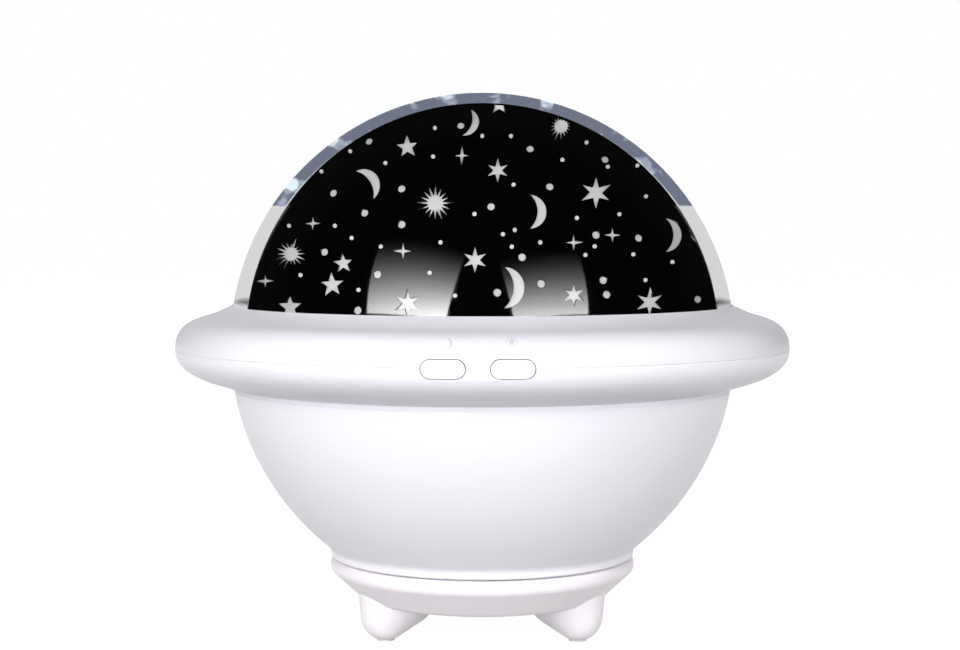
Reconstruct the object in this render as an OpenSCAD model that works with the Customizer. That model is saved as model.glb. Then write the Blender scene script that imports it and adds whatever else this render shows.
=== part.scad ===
/* [Shell outline] */
// Radius of the flared ring at its widest edge
rim_r = 72.6; // [70:0.1:78]
// Height of the seam where the collar meets the lower ring
seam_z = 68.2; // [66.8:0.1:72]
// Height of the collar above the seam
collar_rise = 10; // [9.6:0.1:12]
// Depth of the lower ring below the seam
ring_drop = 9.8; // [9.2:0.1:11]
// Radius of the bowl where its side is upright
bowl_r = 59.5; // [58:0.1:61]
// Height of the full bowl curve, from its upright point down to its pole
bowl_depth = 58.8; // [57:0.1:61]
// Distance from the top edge of the bowl up to the upright point of its curve
bowl_lead = 7.2; // [5:0.1:9]
// Exponent of the bowl curve, 2 is an ellipse
bowl_power = 1.89; // [1.8:0.01:2.1]
// Wall of the moulded shells
wall = 2; // [1.6:0.1:2.4]
// Bevel that makes the fine line at each seam
seam_bevel = 0.25; // [0.1:0.05:0.4]

/* [Dome and film] */
// Outer radius of the clear dome
dome_r = 59.8; // [59:0.1:61]
// How far the centre of the dome lies below the top of the collar
dome_sink = 9.7; // [8:0.1:11]
// Wall of the clear dome
dome_wall = 1.6; // [1.2:0.1:2]
// Depth of the plain skirt of the dome inside the collar
skirt_depth = 3.1; // [2.4:0.1:3.4]
// Outer radius of the star film
film_r = 56.2; // [55.5:0.1:56.6]
// Air gap between the top of the film and the dome
film_gap = 0.8; // [0.5:0.1:1.4]
// Thickness of the black star film
film_t = 0.4; // [0.3:0.05:0.5]
// Wall of the frosted dome under the film
carrier_t = 0.8; // [0.6:0.05:1]
// Height of the film's foot above the floor of the channel
film_ring_t = 0.8; // [0.6:0.1:1]
// Radial clearance of the dome's skirt in the collar
dome_fit = 0.2; // [0.1:0.05:0.3]

/* [Star film] */
// Distance in front of the lamp from which the windows look upright
view_reach = 450; // [400:10:600]
// Height of the viewer above the table
view_z = 98; // [90:1:110]
// Radius of the round windows, in hundredths of the film's radius
dot_size = 1.5; // [1.2:0.1:1.8]
// Points of a sun
sun_rays = 16; // [12:1:18]

/* [Stand] */
// Radius of the neck where the bowl meets the stand
neck_r = 36.2; // [35.6:0.1:37]
// Height of the flat underside of the stand
foot_h = 8.6; // [8:0.1:10]
// Radius of the flat underside of the stand
dish_r = 27.5; // [26:0.1:28]
// Thickness of the stand's floor
stand_floor = 2.2; // [1.8:0.1:2.6]
// Distance of the feet from the centre
foot_reach = 26; // [24:0.5:27]
// Radius of a foot at its tip
foot_r = 5.8; // [5:0.1:6]
// Radius of a foot at its root
foot_root_r = 9.6; // [9:0.1:9.8]
// How far a foot leans inwards up to its root
foot_lean = 3.5; // [3:0.1:4.2]
// Radius of the soft pads
pad_r = 2.1; // [1.6:0.1:2.4]
// Thickness of the soft pads
pad_t = 1.6; // [1.2:0.1:2]
// Running gap between the turning bowl and the top of the stand
shoulder_gap = 0.35; // [0.25:0.05:0.6]

/* [Drive] */
// Module of the drive teeth
tooth_module = 0.8; // [0.75:0.01:0.82]
// Teeth of the pinion
pinion_teeth = 12; // [10:1:14]
// Teeth of the internal gear
ring_teeth = 60; // [60:1:60]
// Play left at each flank
backlash = 0.06; // [0.04:0.01:0.1]
// Thickness of the flange under the internal teeth
gear_flange = 1; // [0.8:0.1:1.4]
// Height of the internal teeth
gear_h = 3.2; // [2.8:0.1:3.6]
// Thickness of the glide ring
glide_t = 1.15; // [0.8:0.05:1.6]
// Axial play under the lamp's floor
float_gap = 0.05; // [0.03:0.01:0.1]
// Radius of the spindle that the lamp turns on
spindle_r = 5; // [4.5:0.1:5.5]
// Radial clearance of the turning shafts
run_fit = 0.06; // [0.03:0.01:0.1]
// Radius of the motor's output shaft
shaft_r = 1.5; // [1.2:0.1:1.8]

/* [Buttons] */
// Length of a button
button_w = 9; // [8:0.1:10]
// Height of a button
button_h = 3.8; // [3.4:0.1:4.4]
// Distance of each button from the middle of the front
button_x = 7.1; // [6.8:0.1:8]
// Gap around a button
button_gap = 0.18; // [0.12:0.02:0.3]
// How far a button stands proud of the rim
button_proud = 0; // [0:0.05:0.6]
// Travel of a button
button_travel = 0.6; // [0.4:0.05:0.8]
// Depth of the shallow dish around each button
dish_depth = 0.5; // [0.3:0.05:0.7]

/* [Inside] */
// Thickness of the circuit boards
board_t = 1.6; // [1.2:0.1:1.6]
// Height of the main board above the table
board_z = 44; // [43:0.5:46]
// Radius of the main board
board_r = 39.5; // [37:0.5:40]
// Radius of the battery cell
cell_r = 9.1; // [8.5:0.1:9.2]
// Length of the battery cell
cell_l = 49; // [44:1:50]
// Distance of the housing screws from the centre
column_reach = 44; // [43:0.5:45]
// Radius of the screw columns
column_r = 3.4; // [3:0.1:3.6]
// Height of the lamp tower above the deck
riser_h = 7; // [5:0.5:9]
// Radius of the lamp board
led_board_r = 9.5; // [8.5:0.1:10.5]

/* [Hidden] */
$fn = 96;

// Small overlap where two cutting or joined solids meet
lap = 0.3;
white = "whitesmoke";

// Heights of the stand and the drive, from the table up
floor_z = foot_h + stand_floor;
tooth_z = floor_z + gear_flange;
gear_top = tooth_z + gear_h;
glide_top = gear_top + glide_t;
bowl_floor_z = glide_top + float_gap;
bowl_floor_top = bowl_floor_z + wall + 0.2;
stand_top = bowl_floor_z + 1.95;
shoulder_z = stand_top + shoulder_gap;
spindle_top = bowl_floor_top + 0.1;

// Heights of the shells
bowl_top = seam_z - ring_drop;
bowl_eq_z = bowl_top + bowl_lead;
collar_top = seam_z + collar_rise;
flare_r = rim_r - 6;
flare_z = collar_top - 2.8;
under_r = rim_r - 6.2;
under_z = seam_z - 6.8;
lip_r = bowl_edge(bowl_top) + 0.12;

// The dome, the film and the channel that they stand in
dome_z = collar_top - dome_sink;
skirt_top = collar_top - 0.2;
skirt_r = sqrt(pow(dome_r, 2) - pow(skirt_top - dome_z, 2));
channel_z = skirt_top - skirt_depth;
groove_r = skirt_r + dome_fit;
carrier_r = film_r - film_t;
bore_r = carrier_r - carrier_t;
film_z = dome_z + dome_r - dome_wall - film_gap - film_r;
film_foot = channel_z + film_ring_t;
film_foot_r = sqrt(pow(film_r, 2) - pow(film_foot - film_z, 2));
bore_foot_r = sqrt(pow(bore_r, 2) - pow(film_foot + 1.4 - film_z, 2));
film_ring_in = bore_foot_r - 1.1;
upstand_r = film_ring_in - 0.3;
upstand_top = channel_z + 2;
deck_top = seam_z;
deck_z = deck_top - wall + 0.2;

// The gear pair
pitch_r = tooth_module * ring_teeth / 2;
pinion_pitch_r = tooth_module * pinion_teeth / 2;
pinion_x = -(pitch_r - pinion_pitch_r);
pressure_angle = 25;
ring_addendum = 0.6 * tooth_module;
gear_out_r = pitch_r + 4.5 * tooth_module;
pinion_z = tooth_z + 0.3;
pinion_h = gear_h - 0.5;
boss_r = spindle_r + 2.5;
washer_t = 1;
flange_in_r = boss_r + 0.7;
gear_screw_r = flange_in_r + 2.3;

// Height of the middle of a foot's root
foot_root_z = foot_h + 3.5;

// Neck of the bowl inside the stand
drum_r = neck_r - 3;
stand_bore_r = drum_r + 0.4;
stand_r = neck_r + 0.15;
join_r = neck_r + 1;
join_z = bowl_height(join_r);

// The gear motor on the bowl's floor
gearbox_size = [19, 16, 10.2];
gearbox_top = bowl_floor_top + gearbox_size[2];
ear_y = 10.4;
ear_t = 2;
can_r = 7.5;
can_h = 11;

// Battery cell, lying across the back of the bowl
cell_y = 17.5;
cell_z = 31;
saddle_x = 14;
saddle_t = 2;

// Boards, columns and posts
column_angles = [30, 150, 270];
post_angles = [90, 225, 315];
post_reach = 33;
post_r = 2.8;
board_top = board_z + board_t;
post_hole = 6;
column_hole = 9;
tab_w = 12;
tab_y = bowl_inner(board_z) - 1;
usb_w = 8.9;
usb_h = 3.3;
usb_l = 7.2;
usb_z = board_top + usb_h / 2;
usb_y = bowl_edge(usb_z) - 0.7 - usb_l;

// Buttons and their switches, from the rim inwards
pad_y = rim_r - wall - 1.4;
flange_t = 1;
flange_edge = 0.8;
stem_l = 1.3;
stem_r = 1.2;
switch_y = pad_y - flange_t - stem_l - button_travel - 0.1;
switch_l = 4.2;
switch_w = 6;
switch_board_y = switch_y - switch_l;
switch_board_w = 32;
switch_board_h = 9;
ring_flange_z = bowl_top + wall;
switch_board_z = ring_flange_z + 1.2;

// Flat inner leads and their plug housings on the board
lead_t = 0.9;
lead_w = 3.6;
plug_w = 6;
plug_l = 4.5;
plug_h = 5;
plug_y = 30;
plug_x = 12;
plug_top = board_top + plug_h;

// Sizes of the screws: thread radius, head radius and head height
small_screw = [1, 1.6, 1];
board_screw = [1.1, 2, 1.4];
housing_screw = [1.4, 2.7, 1.8];
pivot_bolt = [1.5, 2.8, 2];

// Lamp tower on the deck
riser_r = led_board_r + 7;
riser_foot_r = riser_r + 3;
riser_screw_r = riser_r + 1.4;
riser_foot_t = 1.6;
led_z = deck_top + riser_h;
led_board_t = 1.2;

// Star film windows, one half of the film: azimuth from the front, elevation,
// size in hundredths of the film's radius and turn
stars_five = [[-29, 53, 5, 5], [-34, 20, 4.1, 5], [-36, 15, 4.8, 3], [-49.3, 9.6, 5.1, 0],
  [31, 81.8, 4.6, 0], [88, 52, 3.9, 8], [82, 18, 4.1, 15]];
stars_six = [[5.5, 44.5, 5.1, 0], [35, 38, 6.8, 0], [-1, 21, 5.2, 0], [-16, 11.3, 5.4, 0],
  [21.5, 13, 4.6, 0], [42, 11, 5.8, 0], [95, 34, 5.3, 0]];
sparkles = [[-6.4, 49.5, 4, 0], [-50, 29.7, 3.9, 0], [-18.4, 23, 3.8, 0], [-65, 15.2, 4.1, 0],
  [23.3, 25, 3.7, 0], [35, 26.8, 3.8, 0], [76, 57, 3.2, 0], [78, 38, 3.2, 0], [102, 22, 3.4, 0]];
moons = [[-37, 40, 6.8, 32], [-8.6, 64.5, 5.7, -18], [13, 32.7, 6.6, 0], [55, 26.7, 6.8, 3],
  [5.5, 14.8, 7.8, 0], [100, 62, 5.3, 20], [96, 12.5, 6, 0]];
suns = [[-12, 35, 7.1, 0], [-54.5, 22, 6.5, 0], [45.7, 63, 6.5, 0], [76, 26, 6, 0]];
dots = [[-55, 56], [-10, 62.4], [-48, 38], [-23, 39], [-32, 32.4], [-20, 29.4], [-41, 22.6],
  [-24, 17.6], [-28, 9.5], [18.5, 52], [20.5, 39.6], [3, 34], [49, 48.7], [30, 26.8], [43.5, 26],
  [10, 21.6], [29.4, 16.2], [29.8, 13], [4, 13.7], [14, 15.6], [62.6, 11], [72, 44], [88, 27],
  [104, 45], [88, 9]];

// Radius of the bowl's outer curve at a height, and the height at a radius
function bowl_edge(z) = bowl_r * pow(1 - pow((bowl_eq_z - z) / bowl_depth, bowl_power), 1 / bowl_power);
function bowl_height(r) = bowl_eq_z - bowl_depth * pow(1 - pow(r / bowl_r, bowl_power), 1 / bowl_power);
// Radius of the bowl's inner curve at a height
function bowl_inner(z) = max(drum_r - wall, (bowl_r - wall) *
  pow(1 - pow((bowl_eq_z - z) / (bowl_depth - wall), bowl_power), 1 / bowl_power));
// Points of a quadratic curve from a towards c, without c itself
function curve(a, b, c, n = 10) =
  [for (i = [0:n - 1]) let (t = i / n) (1 - t) * (1 - t) * a + 2 * t * (1 - t) * b + t * t * c];
// Heights from a to b in n equal steps
function steps(a, b, n) = [for (i = [0:n]) a + (b - a) * i / n];
function polar(r, a) = [r * cos(a), r * sin(a)];
// Involute of an angle, in degrees
function involute(a) = tan(a) * 180 / PI - a;
// Half angle of a tooth at radius r, for a tooth widened by extra on each side
function flank(r, pitch, teeth, extra) =
  let (base = pitch * cos(pressure_angle),
       at = r <= base ? 0 : acos(base / r))
  90 / teeth + extra / pitch * 180 / PI + involute(pressure_angle) - involute(at);

module revolve(outline) {
  rotate_extrude() polygon(outline);
}

// Gear outline with involute flanks in n steps, and radial below the base circle
module gear_shape(teeth, root, tip, extra, n) {
  pitch = tooth_module * teeth / 2;
  base = pitch * cos(pressure_angle);
  radii = concat(root < base ? [root] : [], steps(max(root, base), tip, n));
  last = len(radii) - 1;
  polygon([for (k = [0:teeth - 1]) let (a = k * 360 / teeth) each concat(
    [for (r = radii) polar(r, a - flank(r, pitch, teeth, extra))],
    [for (i = [last:-1:0]) polar(radii[i], a + flank(radii[i], pitch, teeth, extra))])]);
}

// Outline with round ends, centred, lying across the front (axis along Y)
module slot_y(w, h, y0, y1) {
  translate([0, y1, 0]) rotate([90, 0, 0]) linear_extrude(y1 - y0) slot_shape(w, h);
}

module slot_shape(w, h) {
  for (s = [-1, 1]) translate([s * (w - h) / 2, 0]) circle(d = h, $fn = 48);
  square([w - h, h], center = true);
}

function star(points, r, waist, turn) =
  [for (i = [0:2 * points - 1]) polar(i % 2 == 0 ? r : r * waist, 90 + turn + i * 180 / points)];
function moon(r, turn) = concat(
  [for (i = [0:14]) polar(r, turn - 90 + i * 180 / 14)],
  [for (i = [1:9]) polar(-0.83 * r, turn) + polar(1.3 * r, turn + 50.3 - i * 10.06)]);
function disc(r) = [for (i = [0:19]) polar(r, i * 18)];

// Spreads a flat outline over the film, so that it looks upright from in front.
// Windows at the side of the film keep their own outline.
function spread(outline, azimuth, elevation) = azimuth > 70 ? outline :
  let (normal = [cos(elevation) * sin(azimuth), -cos(elevation) * cos(azimuth), sin(elevation)],
       east = [cos(azimuth), sin(azimuth), 0],
       north = cross(normal, east),
       eye = [0, -view_reach, view_z - film_z],
       look = normal * film_r - eye,
       right = cross(look, [0, 0, 1]) / norm([look[0], look[1]]),
       up = cross(right, look) / norm(look),
       shell = eye * eye - pow(film_r, 2))
  [for (p = outline) let (
    ray = look + p[0] * right + p[1] * up,
    half = ray * eye,
    root = sqrt(max(pow(half, 2) - ray * ray * shell, 0)),
    spot = eye - ray * (half + root) / (ray * ray))
    [spot * east, spot * north]];

// Cutter through the film, along its radius
module window(outline, azimuth, elevation) {
  translate([0, 0, film_z]) rotate([0, 0, azimuth - 90]) rotate([0, 90 - elevation, 0])
    rotate([0, 0, 90]) translate([0, 0, carrier_r - 3]) linear_extrude(film_t + 4)
      polygon(spread(outline * film_r / 100, azimuth, elevation));
}

module film_windows() {
  for (m = stars_five) window(star(5, m[2], 0.42, m[3]), m[0], m[1]);
  for (m = stars_six) window(star(6, m[2], 0.37, m[3]), m[0], m[1]);
  for (m = sparkles) window(star(4, m[2], 0.24, m[3]), m[0], m[1]);
  for (m = moons) window(moon(m[2], m[3]), m[0], m[1]);
  for (m = suns) window(star(sun_rays, m[2], 0.41, m[3]), m[0], m[1]);
  for (m = dots) window(disc(dot_size), m[0], m[1]);
}

// Screw along Z with its thread under the height 0 and its head above it
module screw(size, length) {
  cylinder(r = size[1], h = size[2], $fn = 32);
  translate([0, 0, -length]) cylinder(r = size[0], h = length, $fn = 32);
}

module stand() {
  bore_z = floor_z + (stand_bore_r - dish_r - 1.3) * 0.9;
  color(white) difference() {
    union() {
      revolve(concat(
        [[0, foot_h]],
        curve([dish_r, foot_h], [dish_r + 2, foot_h], [dish_r + 3, foot_h + 1.3], 5),
        curve([stand_r - 1, foot_h + 5.8], [stand_r, foot_h + 6.6], [stand_r, stand_top - 1.8], 6),
        curve([stand_r, stand_top - 1.8], [stand_r, stand_top], [stand_r - 1.5, stand_top], 6),
        [[stand_r - 1.5, stand_top], [0, stand_top]]));
      for (a = [-150, -30, 90]) rotate([0, 0, a]) foot();
    }
    // open cavity for the drive, its side following the dish
    revolve([[0, floor_z], [dish_r + 0.7, floor_z], [dish_r + 1.3, floor_z + 0.7],
      [stand_bore_r, bore_z + 0.7], [stand_bore_r, stand_top + 9], [0, stand_top + 9]]);
    for (a = [-150, -30, 90]) rotate([0, 0, a]) translate([foot_reach, 0, -1])
      cylinder(r = pad_r, h = pad_t + 1, $fn = 48);
    for (a = [0, 120, 240]) rotate([0, 0, a]) translate([gear_screw_r, 0, foot_h + 0.6])
      cylinder(r = small_screw[0], h = stand_floor, $fn = 32);
  }
  color(white) difference() {
    union() {
      translate([0, 0, floor_z - lap]) cylinder(r = boss_r, h = gear_h + gear_flange + lap);
      translate([0, 0, floor_z - lap]) cylinder(r = spindle_r, h = spindle_top - floor_z + lap);
    }
    translate([0, 0, spindle_top - 6]) cylinder(r = pivot_bolt[0], h = 7, $fn = 32);
  }
}

// One leaning foot: a cone that runs from a round tip into a larger round root in the dish
module foot() {
  lean = [foot_lean, foot_r - foot_root_z];
  span = norm(lean);
  taper = (foot_root_r - foot_r) / span;
  shrink = sqrt(1 - taper * taper);
  translate([foot_reach, 0, foot_r]) sphere(r = foot_r, $fn = 48);
  translate([foot_reach, 0, foot_r]) rotate([0, -atan(foot_lean / (foot_root_z - foot_r)), 0]) {
    translate([0, 0, -taper * foot_r]) cylinder(r1 = foot_r * shrink, r2 = foot_root_r * shrink,
      h = span + taper * (foot_r - foot_root_r), $fn = 48);
    translate([0, 0, span]) sphere(r = foot_root_r, $fn = 48);
  }
}

module foot_pads() {
  color("gainsboro") for (a = [-150, -30, 90]) rotate([0, 0, a])
    translate([foot_reach, 0, 0]) cylinder(r = pad_r, h = pad_t, $fn = 48);
}

// Internal gear of the drive, fixed in the stand
module drive_ring() {
  color("ivory") difference() {
    translate([0, 0, floor_z]) cylinder(r = gear_out_r, h = gear_h + gear_flange);
    translate([0, 0, tooth_z]) linear_extrude(gear_h + 1)
      gear_shape(ring_teeth, pitch_r - ring_addendum, pitch_r + 1.25 * tooth_module, backlash, 2);
    translate([0, 0, floor_z - 1]) cylinder(r = flange_in_r, h = gear_flange + 2);
    for (a = [0, 120, 240]) rotate([0, 0, a]) translate([gear_screw_r, 0, floor_z - 1])
      cylinder(r = small_screw[0], h = gear_flange + 2, $fn = 32);
  }
}

module drive_ring_screws() {
  color("silver") for (a = [0, 120, 240]) rotate([0, 0, a])
    translate([gear_screw_r, 0, tooth_z]) screw(small_screw, gear_flange + stand_floor - 0.6);
}

module glide_ring() {
  color("linen") translate([0, 0, gear_top]) difference() {
    cylinder(r = gear_out_r, h = glide_t);
    translate([0, 0, -1]) cylinder(r = pitch_r + 1.5 * tooth_module, h = glide_t + 2);
  }
}

module pivot_washer() {
  color("silver") translate([0, 0, spindle_top]) difference() {
    cylinder(r = spindle_r + 2.6, h = washer_t);
    translate([0, 0, -1]) cylinder(r = pivot_bolt[0], h = washer_t + 2, $fn = 32);
  }
}

module pivot_screw() {
  color("silver") translate([0, 0, spindle_top + washer_t]) screw(pivot_bolt, washer_t + 6);
}

// Pinion and output shaft of the gear motor
module drive_pinion() {
  color("ivory") translate([pinion_x, 0, 0]) {
    translate([0, 0, pinion_z]) linear_extrude(pinion_h)
      gear_shape(pinion_teeth, pinion_pitch_r - 1.25 * tooth_module,
        pinion_pitch_r + tooth_module, -backlash, 4);
    translate([0, 0, pinion_z]) cylinder(r = shaft_r, h = bowl_floor_top + 5 - pinion_z, $fn = 48);
  }
}

// Space inside the bowl's shell, grown by extra, that its ribs and columns are cut to
module bowl_inside(extra) {
  low = bowl_floor_top - extra;
  revolve(concat(
    [[0, low], [bowl_inner(bowl_floor_top) + extra, low]],
    [for (z = steps(bowl_floor_top, bowl_top, 22)) [bowl_inner(z) + extra, z]],
    [[bowl_inner(bowl_top) + extra - 3, bowl_top], [bowl_inner(bowl_top) + extra - 3, deck_z],
      [0, deck_z]]));
}

// Lower housing: a turned shell with columns, posts and saddles moulded in
module bowl() {
  color(white) difference() {
    union() {
      revolve(concat(
        [[0, bowl_floor_z], [drum_r - 0.6, bowl_floor_z], [drum_r, bowl_floor_z + 0.6],
          [drum_r, shoulder_z], [neck_r - 0.3, shoulder_z], [neck_r, shoulder_z + 0.3]],
        curve([neck_r, shoulder_z + 0.9], [neck_r, join_z - 0.8], [join_r, join_z], 4),
        [for (z = steps(join_z, bowl_top - seam_bevel, 30)) [bowl_edge(z), z]],
        [[bowl_edge(bowl_top) - seam_bevel, bowl_top], [bowl_inner(bowl_top), bowl_top]],
        [for (z = steps(bowl_top - 0.5, bowl_floor_top, 26)) [bowl_inner(z), z]],
        [[0, bowl_floor_top]]));
      intersection() {
        bowl_inside(lap);
        union() {
          for (a = column_angles) rotate([0, 0, a]) translate([column_reach, 0, bowl_floor_z])
            cylinder(r = column_r, h = deck_z - bowl_floor_z, $fn = 48);
          for (a = post_angles) rotate([0, 0, a]) translate([post_reach, 0, bowl_floor_z])
            cylinder(r = post_r, h = board_z - bowl_floor_z, $fn = 48);
          for (s = [-1, 1]) translate([s * saddle_x - saddle_t / 2, cell_y - 8.6, bowl_floor_z])
            cube([saddle_t, 20, cell_z - bowl_floor_z]);
        }
      }
    }
    translate([0, 0, bowl_floor_z - 1]) cylinder(r = spindle_r + run_fit, h = wall + 3);
    translate([pinion_x, 0, bowl_floor_z - 1]) cylinder(r = shaft_r + run_fit, h = wall + 3, $fn = 48);
    translate([-cell_l / 2, cell_y, cell_z]) rotate([0, 90, 0]) cylinder(r = cell_r + run_fit, h = cell_l);
    for (a = column_angles) rotate([0, 0, a]) translate([column_reach, 0, deck_z - column_hole])
      cylinder(r = housing_screw[0], h = column_hole + 1, $fn = 32);
    for (a = post_angles) rotate([0, 0, a]) translate([post_reach, 0, board_z - post_hole])
      cylinder(r = board_screw[0], h = post_hole + 1, $fn = 32);
    for (s = [-1, 1]) translate([pinion_x, s * ear_y, bowl_floor_z + 0.7])
      cylinder(r = board_screw[0], h = wall + 1, $fn = 32);
    translate([0, 0, usb_z]) slot_y(usb_w + 1.2, usb_h + 1.2, usb_y + 2, bowl_r + 2);
  }
}

// Solid of the flared ring, which the pads behind the buttons are cut to
module flare_body() {
  revolve(concat(
    [[rim_r - 8, under_z + 1.2]],
    curve([under_r, under_z], [rim_r, seam_z - 4.4], [rim_r, seam_z], 10),
    curve([rim_r, seam_z], [rim_r, collar_top - 4.4], [flare_r, flare_z], 10),
    [[flare_r, flare_z], [rim_r - 8, flare_z - 0.6]]));
}

// Flat-backed wall behind the buttons, above or below the seam
module button_pad(z0, z1) {
  intersection() {
    flare_body();
    translate([-button_x - 7, -rim_r - 1, z0]) cube([2 * button_x + 14, rim_r + 1 - pad_y, z1 - z0]);
  }
}

// Openings for both buttons, the shallow dish around each and the room for its stop flange
module button_cuts() {
  for (s = [-1, 1]) translate([s * button_x, 0, seam_z]) {
    slot_y(button_w + 2 * button_gap, button_h + 2 * button_gap, -rim_r - 2, -pad_y + 3);
    slot_y(button_w + 3.4, button_h + 3, -rim_r - 2, -rim_r + dish_depth);
    slot_y(button_w + 2 * (flange_edge + button_gap), button_h + 2 * (flange_edge + button_gap),
      -pad_y, -pad_y + flange_t + button_travel + 2.4);
  }
}

module lower_ring() {
  color(white) difference() {
    union() {
      revolve(concat(
        [[lip_r - 7, bowl_top], [lip_r, bowl_top], [lip_r, bowl_top + 0.8]],
        curve([lip_r + 0.5, bowl_top + 1], [under_r - 4, under_z - 1.4], [under_r, under_z], 6),
        curve([under_r, under_z], [rim_r, seam_z - 4.4], [rim_r, seam_z - seam_bevel], 12),
        [[rim_r, seam_z - seam_bevel], [rim_r - seam_bevel, seam_z], [rim_r - wall - 0.3, seam_z],
          [rim_r - wall - 0.3, seam_z + 1.2], [rim_r - wall - 1.5, seam_z + 1.2]],
        curve([rim_r - wall - 1.5, seam_z - 1], [rim_r - wall - 1.5, seam_z - 3.2],
          [under_r - 1.5, under_z + 1.6], 6),
        curve([under_r - 1.5, under_z + 1.6], [under_r - 4, under_z - 1.4 + wall],
          [lip_r + 0.5, ring_flange_z], 5),
        [[lip_r + 0.5, ring_flange_z], [lip_r - 7, ring_flange_z]]));
      // locating lip inside the bowl
      revolve([[lip_r - 7, bowl_top + lap], [lip_r - 7, bowl_top - 2.4], [lip_r - 4.6, bowl_top - 2.4],
        [lip_r - 4.6, bowl_top + lap]]);
      button_pad(seam_z - 3.2, seam_z);
      // slotted ribs that hold the switch board, cut to the inside of the ring
      intersection() {
        for (s = [-1, 1]) translate([s * (switch_board_w / 2) - 1.6, -switch_board_y - 2,
          ring_flange_z - lap]) cube([3.2, board_t + 4, switch_board_h * 0.7]);
        revolve([[lip_r - 7, ring_flange_z - lap], [lip_r, ring_flange_z - lap],
          [under_r - 1.5, under_z + 1.6 - lap], [rim_r - wall - 1.7, seam_z], [lip_r - 7, seam_z]]);
      }
    }
    // the tongue stops short of the buttons
    translate([-button_x - 7.4, -rim_r - 1, seam_z]) cube([2 * button_x + 14.8, 10, 3]);
    button_cuts();
    translate([-switch_board_w / 2 - 0.05, -switch_board_y, switch_board_z])
      cube([switch_board_w + 0.1, board_t, switch_board_h + 1]);
  }
}

module collar() {
  inner_r = rim_r - wall;
  color(white) difference() {
    union() {
      revolve(concat(
        curve([groove_r, collar_top], [groove_r + 3.6, collar_top - 1.8], [flare_r, flare_z], 6),
        curve([flare_r, flare_z], [rim_r, collar_top - 4.4], [rim_r, seam_z + seam_bevel], 14),
        [[rim_r, seam_z + seam_bevel], [rim_r - seam_bevel, seam_z]],
        curve([inner_r, seam_z], [inner_r, collar_top - 4.4 - wall], [flare_r - 0.7, flare_z - wall], 8),
        [[flare_r - 0.7, flare_z - wall], [groove_r + wall, collar_top - 3.2],
          [groove_r + wall, channel_z - wall], [upstand_r, channel_z - wall], [upstand_r, deck_z],
          [0, deck_z], [0, deck_top], [upstand_r - 1.6, deck_top], [upstand_r - 1.6, upstand_top],
          [upstand_r, upstand_top], [upstand_r, channel_z], [groove_r, channel_z]]));
      button_pad(seam_z, seam_z + 3.2);
      // stiffening ribs between the channel and the flare
      intersection() {
        for (a = [15:30:345]) rotate([0, 0, a - 90]) translate([groove_r + 0.5, -0.6, channel_z - wall])
          cube([6, 1.2, 8]);
        revolve([[groove_r + 0.5, channel_z - wall], [groove_r + wall + 1.5, channel_z - wall],
          [flare_r - 1, flare_z - wall + lap], [groove_r + wall, collar_top - 3.2 + lap],
          [groove_r + 0.5, collar_top - 3.2 + lap]]);
      }
    }
    button_cuts();
    for (a = column_angles) rotate([0, 0, a]) translate([column_reach, 0, deck_z - 1])
      cylinder(r = housing_screw[0] + 0.1, h = wall + 2, $fn = 32);
    for (a = [60, 180, 300]) rotate([0, 0, a]) translate([riser_screw_r, 0, deck_z - 1])
      cylinder(r = small_screw[0], h = wall + 2, $fn = 32);
    translate([0, 0, deck_z - 1]) cylinder(r = 4, h = wall + 2);
  }
}

module housing_screws() {
  color("silver") for (a = column_angles) rotate([0, 0, a])
    translate([column_reach, 0, deck_top]) screw(housing_screw, deck_top - deck_z + column_hole - 1.3);
}

module gearbox() {
  color("dimgray") difference() {
    union() {
      translate([pinion_x - gearbox_size[0] / 2, -gearbox_size[1] / 2, bowl_floor_top])
        cube(gearbox_size);
      translate([pinion_x - 3, -ear_y - 2.6, bowl_floor_top]) cube([6, 2 * ear_y + 5.2, ear_t]);
    }
    translate([pinion_x, 0, bowl_floor_top - 1]) cylinder(r = shaft_r + run_fit, h = 7, $fn = 48);
    for (s = [-1, 1]) translate([pinion_x, s * ear_y, bowl_floor_top - 1])
      cylinder(r = board_screw[0], h = ear_t + 2, $fn = 32);
  }
}

module gearbox_screws() {
  color("silver") for (s = [-1, 1]) translate([pinion_x, s * ear_y, bowl_floor_top + ear_t])
    screw(board_screw, ear_t + wall - 0.5);
}

module motor_can() {
  color("silver") {
    translate([pinion_x, 0, gearbox_top]) cylinder(r = can_r, h = can_h);
    translate([pinion_x, 0, gearbox_top + can_h - lap]) cylinder(r = 2.5, h = 1 + lap, $fn = 32);
  }
}

module battery_cell() {
  color("royalblue") translate([-cell_l / 2, cell_y, cell_z]) rotate([0, 90, 0]) {
    cylinder(r = cell_r, h = cell_l);
    translate([0, 0, cell_l - lap]) cylinder(r = cell_r / 3, h = 1.4 + lap, $fn = 48);
  }
}

module control_board() {
  color("seagreen") difference() {
    translate([0, 0, board_z]) union() {
      cylinder(r = board_r, h = board_t);
      translate([-tab_w / 2, 0, 0]) cube([tab_w, tab_y, board_t]);
    }
    for (a = post_angles) rotate([0, 0, a]) translate([post_reach, 0, board_z - 1])
      cylinder(r = board_screw[0], h = board_t + 2, $fn = 32);
    translate([0, 0, board_z - 1]) cylinder(r = 5, h = board_t + 2, $fn = 48);
  }
}

// Chips, capacitors and plug housings on the control board
module board_parts() {
  color("dimgray") translate([0, 0, board_top]) {
    translate([-20, -8, 0]) cube([10, 6, 1.6]);
    translate([10, 8, 0]) cube([5, 4, 1.5]);
    for (s = [-1:1]) translate([s * plug_x - plug_w / 2, -plug_y, 0]) cube([plug_w, plug_l, plug_h]);
    for (x = [16, 24]) translate([x, -8, 0]) cylinder(r = 3, h = 7, $fn = 48);
    translate([-26, 10, 0]) cube([8, 8, 4.5]);
  }
}

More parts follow.
